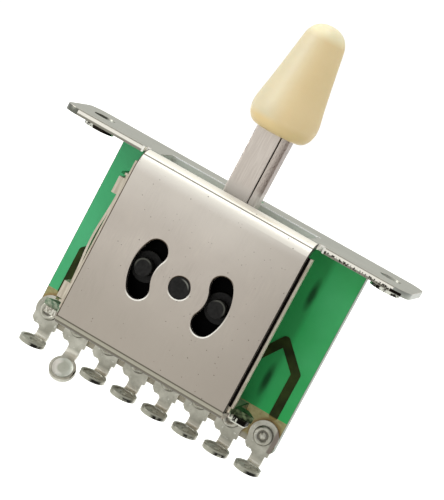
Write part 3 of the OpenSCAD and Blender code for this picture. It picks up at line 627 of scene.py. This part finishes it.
shape = bmesh.new()
turns = 24
rows = []
for radius, depth in rivet_profile:
    if radius == 0:
        rows.append([shape.verts.new((0, depth * mm, 0))])
        continue
    rows.append([shape.verts.new((
        radius * mm * math.cos(k * math.tau / turns), depth * mm,
        radius * mm * math.sin(k * math.tau / turns))) for k in range(turns)])
for front, back in zip(rows, rows[1:]):
    for k in range(turns):
        n = (k + 1) % turns
        if len(front) == 1:
            shape.faces.new((front[0], back[k], back[n]))
        elif len(back) == 1:
            shape.faces.new((front[n], front[k], back[0]))
        else:
            shape.faces.new((front[k], back[k], back[n], front[n]))
bmesh.ops.recalc_face_normals(shape, faces=shape.faces)
mesh = bpy.data.meshes.new("one_rivet")
shape.to_mesh(mesh)
shape.free()
mesh.polygons.foreach_set("use_smooth", [True] * len(mesh.polygons))
mesh.set_sharp_from_angle(angle=math.radians(60))
one_rivet = bpy.data.objects.new("one_rivet", mesh)
bpy.context.scene.collection.objects.link(one_rivet)

# The row tree sets one copy of a piece at each pitch along the board.
row = bpy.data.node_groups.new("row_along_board", "GeometryNodeTree")
sockets = {
    name: row.interface.new_socket(name, in_out="INPUT", socket_type=kind).identifier
    for name, kind in (
        ("Piece", "NodeSocketObject"), ("Count", "NodeSocketInt"), ("Pitch", "NodeSocketFloat"),
        ("First", "NodeSocketVector"), ("Finish", "NodeSocketMaterial"))}
row.interface.new_socket("Geometry", in_out="OUTPUT", socket_type="NodeSocketGeometry")
given = add(row, "NodeGroupInput")
step = add(row, "ShaderNodeCombineXYZ", {0: given.outputs["Pitch"]})
points = add(row, "GeometryNodeMeshLine", {
    "Count": given.outputs["Count"], "Start Location": given.outputs["First"], "Offset": step.outputs[0]})
piece_in = add(row, "GeometryNodeObjectInfo", {"Object": given.outputs["Piece"]})
copies = add(row, "GeometryNodeInstanceOnPoints", {
    "Points": points.outputs[0], "Instance": piece_in.outputs["Geometry"]})
real = add(row, "GeometryNodeRealizeInstances", {"Geometry": copies.outputs[0]})
finished = add(row, "GeometryNodeSetMaterial", {
    "Geometry": real.outputs[0], "Material": given.outputs["Finish"]})
add(row, "NodeGroupOutput", {0: finished.outputs[0]})

rivets = bpy.data.objects.new("rolled_lug_rivets", bpy.data.meshes.new("rolled_lug_rivets"))
bpy.context.scene.collection.objects.link(rivets)
setting = rivets.modifiers.new("row", "NODES")
setting.node_group = row
setting[sockets["Piece"]] = one_rivet
setting[sockets["Count"]] = rivet_count
setting[sockets["Pitch"]] = lug_pitch * mm
setting[sockets["First"]] = (-(rivet_count - 1) / 2 * lug_pitch * mm, 0, pad_z * mm)
setting[sockets["Finish"]] = tinned
settle(rivets)
bpy.data.objects.remove(one_rivet)
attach(rivets, "base")
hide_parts("lug_rivets")


# ---- Solder
# Old solder fills the dish of the second lug and closes its wire hole.

# It has crept up the dish's wall, so its face is hollow.
shape = bmesh.new()
shape.from_mesh(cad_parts["solder_fill"].data)
bmesh.ops.remove_doubles(shape, verts=shape.verts, dist=1e-7)
bmesh.ops.dissolve_limit(shape, angle_limit=math.radians(0.5), verts=shape.verts, edges=shape.edges)
shape.faces.ensure_lookup_table()
face = min((f for f in shape.faces if f.calc_area() > 3e-6), key=lambda f: f.normal.y)
up = face.normal.copy()
heart = face.calc_center_median()
for corner in face.verts:
    corner.co += up * 0.1 * mm
for width, depth in ((0.22, -0.1), (0.3, -0.06), (0.3, -0.02)):
    bmesh.ops.inset_individual(shape, faces=[face], thickness=width * mm, depth=depth * mm)
mesh = bpy.data.meshes.new("old_solder")
shape.to_mesh(mesh)
shape.free()
mesh.polygons.foreach_set("use_smooth", [True] * len(mesh.polygons))
mesh.set_sharp_from_angle(angle=math.radians(60))
solder = bpy.data.objects.new("old_solder", mesh)
bpy.context.scene.collection.objects.link(solder)

# Tin-lead solder, frozen dull: pale grey and smooth, with a painted highlight where it climbs the
# dish's wall at the left.
tin_lead, tree = new_finish("frozen_tin_lead_solder")
place = add(tree, "ShaderNodeTexCoord").outputs["Object"]
off = add(tree, "ShaderNodeVectorMath", {0: place, 1: heart}, operation="SUBTRACT").outputs[0]
off = add(tree, "ShaderNodeVectorMath", {0: off, 1: (1, 0, 1.25)}, operation="MULTIPLY").outputs[0]
far = add(tree, "ShaderNodeVectorMath", {0: off}, operation="LENGTH").outputs["Value"]
way = add(tree, "ShaderNodeVectorMath", {0: off}, operation="NORMALIZE").outputs[0]
left = add(tree, "ShaderNodeVectorMath", {
    0: way, 1: (-0.88, 0, -0.47)}, operation="DOT_PRODUCT").outputs["Value"]
left = add(tree, "ShaderNodeMapRange", {0: left, 1: -0.1, 2: 0.5}).outputs[0]
colour = over(tree, noise(tree, place, 1), linear("#BEC1B5"), linear("#CDCFC4"))
colour = over(tree, product(tree, left, within(tree, far, 0.85, 2, 0.25)), colour, (1, 1, 0.96, 1))
shader = add(tree, "ShaderNodeBsdfPrincipled", {"Base Color": colour, "Metallic": 0.5, "Roughness": 0.35})
add(tree, "ShaderNodeOutputMaterial", {0: shader.outputs[0]})
mesh.materials.append(tin_lead)
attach(solder, "base")
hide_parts("solder_fill")


# ---- Wipers
# Two phosphor-bronze wipers, riveted to the rotor's back, bridge the copper arcs.

# Rolled phosphor bronze: warm brown-gold strip.
bronze, tree = new_finish("rolled_phosphor_bronze")
place = add(tree, "ShaderNodeTexCoord").outputs["Object"]
roll = add(tree, "ShaderNodeTexNoise", {"Vector": place, "Scale": 1200, "Detail": 2})
bronze_tone = add(tree, "ShaderNodeMix", {
    0: roll.outputs[0], 6: linear("#A9805A"), 7: linear("#C79C72")}, data_type="RGBA")
shader = add(tree, "ShaderNodeBsdfPrincipled", {
    "Base Color": bronze_tone.outputs[2], "Metallic": 1, "Roughness": 0.32})
add(tree, "ShaderNodeOutputMaterial", {0: shader.outputs[0]})
rounded_copy("wiper_left", "left_wiper", 0.03 * mm, bronze, "lever")
rounded_copy("wiper_right", "right_wiper", 0.03 * mm, bronze, "lever")
rounded_copy("wiper_rivets", "wiper_rivet_heads", 0.05 * mm, bronze, "lever")


# ---- Stand for the picture
# A pale floor far below the part, a bright plain surround and soft boxes: a large one
# overhead, a softer one at the left and a large one over the floor behind the part.
floor_z = -0.2
floor_mesh = bpy.data.meshes.new("pale_floor")
floor_mesh.from_pydata(
    [(2.6 * math.cos(k * math.tau / 64), 2.6 * math.sin(k * math.tau / 64), floor_z) for k in range(64)],
    [], [list(range(64))])
pale, tree = new_finish("pale_painted_floor")
place = add(tree, "ShaderNodeTexCoord").outputs["Object"]
paint = add(tree, "ShaderNodeTexNoise", {"Vector": place, "Scale": 3})
paint_tone = add(tree, "ShaderNodeMix", {
    0: paint.outputs[0], 6: linear("#F8F8F6"), 7: linear("#FBFBFA")}, data_type="RGBA")
shader = add(tree, "ShaderNodeBsdfDiffuse", {0: paint_tone.outputs[2]})
add(tree, "ShaderNodeOutputMaterial", {0: shader.outputs[0]})
floor_mesh.materials.append(pale)
floor = bpy.data.objects.new("pale_floor", floor_mesh)
bpy.context.scene.collection.objects.link(floor)

world = bpy.data.worlds.new("plain_surround")
bpy.context.scene.world = world
world.use_nodes = True
tree = world.node_tree
tree.nodes.clear()
towards = add(tree, "ShaderNodeTexCoord").outputs["Generated"]
heading = add(tree, "ShaderNodeSeparateXYZ", {0: towards})
front = add(tree, "ShaderNodeMapRange", {0: heading.outputs[0], 1: -0.1, 2: 0.55, 3: 0.95, 4: 0.55})
low_back = add(tree, "ShaderNodeMapRange", {0: heading.outputs[2], 1: 0.03, 2: 0.09, 3: 1, 4: 0})
high_back = add(tree, "ShaderNodeMapRange", {0: heading.outputs[2], 1: 0.3, 2: 0.5, 3: 0, 4: 1})
backness = add(tree, "ShaderNodeMapRange", {0: heading.outputs[1], 1: 0, 2: 0.3, 3: 0, 4: 1})
front_grey = add(tree, "ShaderNodeCombineColor", {k: front.outputs[0] for k in (0, 1, 2)})
back_tint = over(tree, high_back.outputs[0], (0.4, 0.5, 0.47, 1), (1.15, 1.15, 1.1, 1))
back_tint = over(tree, low_back.outputs[0], back_tint, (1.06, 1.06, 1.06, 1))
surround = over(tree, backness.outputs[0], front_grey.outputs[0], back_tint)
sky = add(tree, "ShaderNodeBackground", {"Color": surround, "Strength": 1})
add(tree, "ShaderNodeOutputWorld", {0: sky.outputs[0]})


def softbox(name, place, aim, width, height, power):
    """A soft area light that faces the given point."""
    light = bpy.data.lights.new(name, "AREA")
    light.shape = "RECTANGLE"
    light.size = width
    light.size_y = height
    light.energy = power
    lamp = bpy.data.objects.new(name, light)
    lamp.location = place
    lamp.rotation_mode = "QUATERNION"
    lamp.rotation_quaternion = (Vector(place) - Vector(aim)).to_track_quat("Z", "Y")
    bpy.context.scene.collection.objects.link(lamp)
    return lamp


softbox("softbox_overhead", (-0.05, -0.05, 0.5), (0, 0, 0), 0.3, 0.22, 0.65)
softbox("softbox_left", (-0.5, -0.22, 0.14), (0, 0, 0), 0.2, 0.3, 0.85)
backdrop = softbox("softbox_backdrop", (0, 1.6, 0.3), (0, 1.6, floor_z), 2.4, 2.2, 16)
backdrop.visible_glossy = False

# The camera stands where the photograph was taken from, 268 mm away, and is rolled
# 28 degrees, so that the switch leans to the right in the picture.
azimuth, elevation, roll_angle = (math.radians(a) for a in (11.941, 7.597, 28.082))
target = Vector((0.543, 0, -7.243)) * mm
away = Vector((
    math.sin(azimuth) * math.cos(elevation), -math.cos(azimuth) * math.cos(elevation), math.sin(elevation)))
camera_data = bpy.data.cameras.new("camera")
camera_data.sensor_width = 36
camera_data.lens = 155.93
camera_data.clip_start = 0.01
camera_data.clip_end = 20
camera = bpy.data.objects.new("camera", camera_data)
camera.location = target + away * 267.637 * mm
camera.rotation_mode = "QUATERNION"
camera.rotation_quaternion = away.to_track_quat("Z", "Y") @ Quaternion((0, 0, 1), roll_angle)
bpy.context.scene.collection.objects.link(camera)
bpy.context.scene.camera = camera
bpy.context.scene.view_settings.view_transform = "Standard"
